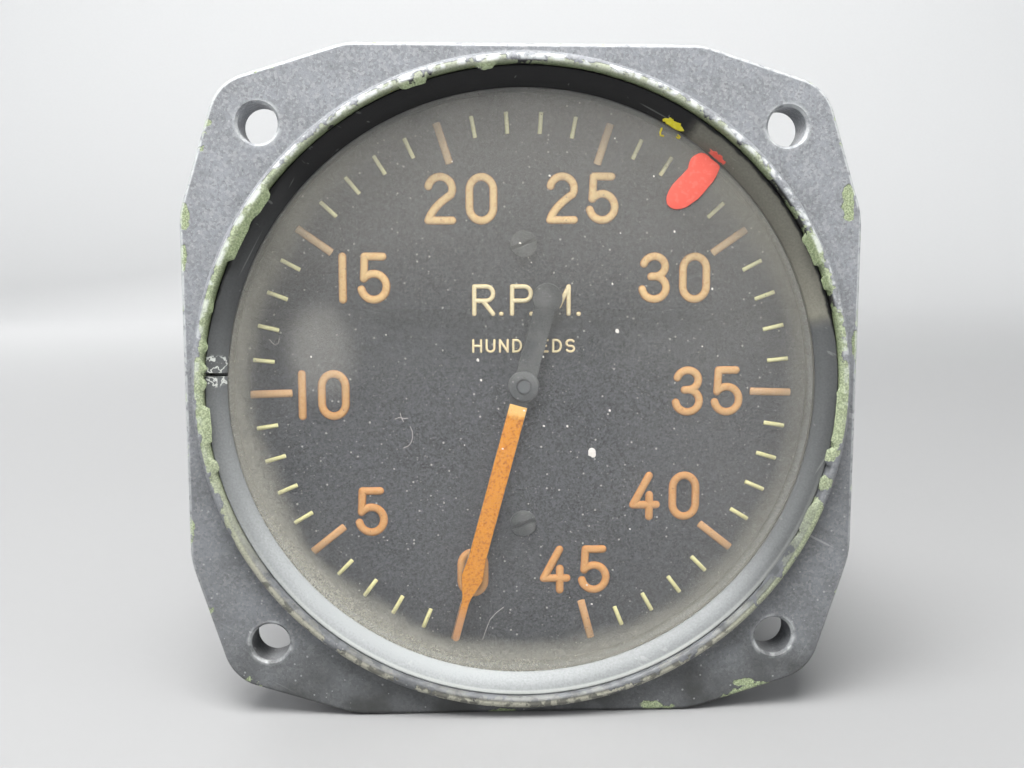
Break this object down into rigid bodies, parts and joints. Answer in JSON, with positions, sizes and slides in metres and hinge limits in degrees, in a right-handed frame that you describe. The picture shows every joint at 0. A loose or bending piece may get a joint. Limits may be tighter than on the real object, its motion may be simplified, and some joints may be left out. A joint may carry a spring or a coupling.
{
  "type": "aircraft tachometer",
  "caption": "Round panel tachometer: eared flange, black dial with a scale in hundreds of revolutions, orange pointer, drag-disc movement and motor in a barrel with a rear receptacle.",
  "frame": {"origin": "centre of the four mounting holes on the front face of the flange", "axes": "-Y is the way the dial faces, +Y runs back along the barrel, +Z is the top of the dial"},
  "size_m": [0.0818, 0.1144, 0.0818],
  "materials": {
    "case_paint": "satin black paint faded to dark blue-grey, worn to primer and bare metal on its edges",
    "ring_enamel": "glossy black enamel with scratches",
    "clear_glass": "flat clear glass, dusty, with paint marks",
    "rubber": "matte black rubber",
    "dial_black": "matte charcoal paint with dust",
    "dial_screw": "blackened steel",
    "pointer_orange": "grainy orange luminous paint, black tail",
    "hub_black": "satin black",
    "copper": "bare copper",
    "copper_wire": "enamelled copper wire, varnished",
    "lead_sleeve": "varnished cloth sleeve",
    "insulator": "dark moulded insulator",
    "contact_metal": "plated brass",
    "shell_metal": "dull plated alloy",
    "plate_alloy": "turned alloy",
    "core_iron": "laminated iron",
    "magnet_alloy": "cast magnet alloy",
    "brass": "turned brass",
    "steel": "bright steel"
  },
  "bodies": {
    "housing": {"case": "case_paint", "retaining_ring": "ring_enamel", "cover_glass": "clear_glass", "glass_gasket": "rubber", "dial": "dial_black", "dial_screws": "dial_screw", "front_bush": "brass", "rear_bush": "brass", "hairspring": "steel", "hairspring_stud": "steel", "stop_pin": "steel", "front_plate": "plate_alloy", "bridge_plate": "plate_alloy", "movement_screws": "steel", "tie_rods": "steel", "tie_nuts": "brass", "front_spacers": "brass", "middle_spacers": "brass", "motor_front_spacers": "brass", "motor_rear_spacers": "brass", "front_shield": "plate_alloy", "rear_shield": "plate_alloy", "stator_core": "core_iron", "stator_windings": "copper_wire", "front_bearing_outer": "steel", "rear_bearing_outer": "steel", "preload_washer": "steel", "stator_leads": "lead_sleeve", "rear_gasket": "rubber", "rear_cover": "case_paint", "rear_cover_screws": "steel", "receptacle_shell": "shell_metal", "receptacle_insert": "insulator", "contact_pins": "contact_metal", "receptacle_screws": "steel"},
    "pointer_movement": {"pointer": "pointer_orange", "pointer_hub": "hub_black", "pointer_staff": "steel", "hairspring_collet": "brass", "stop_arm": "steel", "drag_disc": "copper", "drag_disc_hub": "brass"},
    "rotor": {"rotor_shaft": "steel", "rotor_magnet": "magnet_alloy", "hysteresis_discs": "steel", "magnet_front_plate": "steel", "magnet_rear_plate": "steel", "front_magnets": "magnet_alloy", "rear_magnets": "magnet_alloy", "magnet_pillars": "brass", "front_bearing_inner": "steel", "rear_bearing_inner": "steel"},
    "front_ball_cage": {"front_bearing_balls": "steel", "front_bearing_cage": "brass"},
    "rear_ball_cage": {"rear_bearing_balls": "steel", "rear_bearing_cage": "brass"}
  },
  "joints": [
    {"name": "pointer_sweep", "type": "hinge", "parent": "housing", "child": "pointer_movement", "pos_m": [0, 0, 0], "axis": [0, 1, 0], "range_deg": [0, 330], "stiffness_Nm_per_rad": 0.00002, "deforming": ["hairspring"]},
    {"name": "rotor_spin", "type": "hinge", "parent": "housing", "child": "rotor", "pos_m": [0, 0, 0], "axis": [0, 1, 0], "continuous": true},
    {"name": "front_cage_orbit", "type": "hinge", "parent": "housing", "child": "front_ball_cage", "pos_m": [0, 0, 0], "axis": [0, 1, 0], "continuous": true},
    {"name": "rear_cage_orbit", "type": "hinge", "parent": "housing", "child": "rear_ball_cage", "pos_m": [0, 0, 0], "axis": [0, 1, 0], "continuous": true}
  ],
  "couplings": [
    {"joint": "front_cage_orbit", "follows": "rotor_spin", "ratio": 0.36366},
    {"joint": "rear_cage_orbit", "follows": "rotor_spin", "ratio": 0.36366}
  ]
}
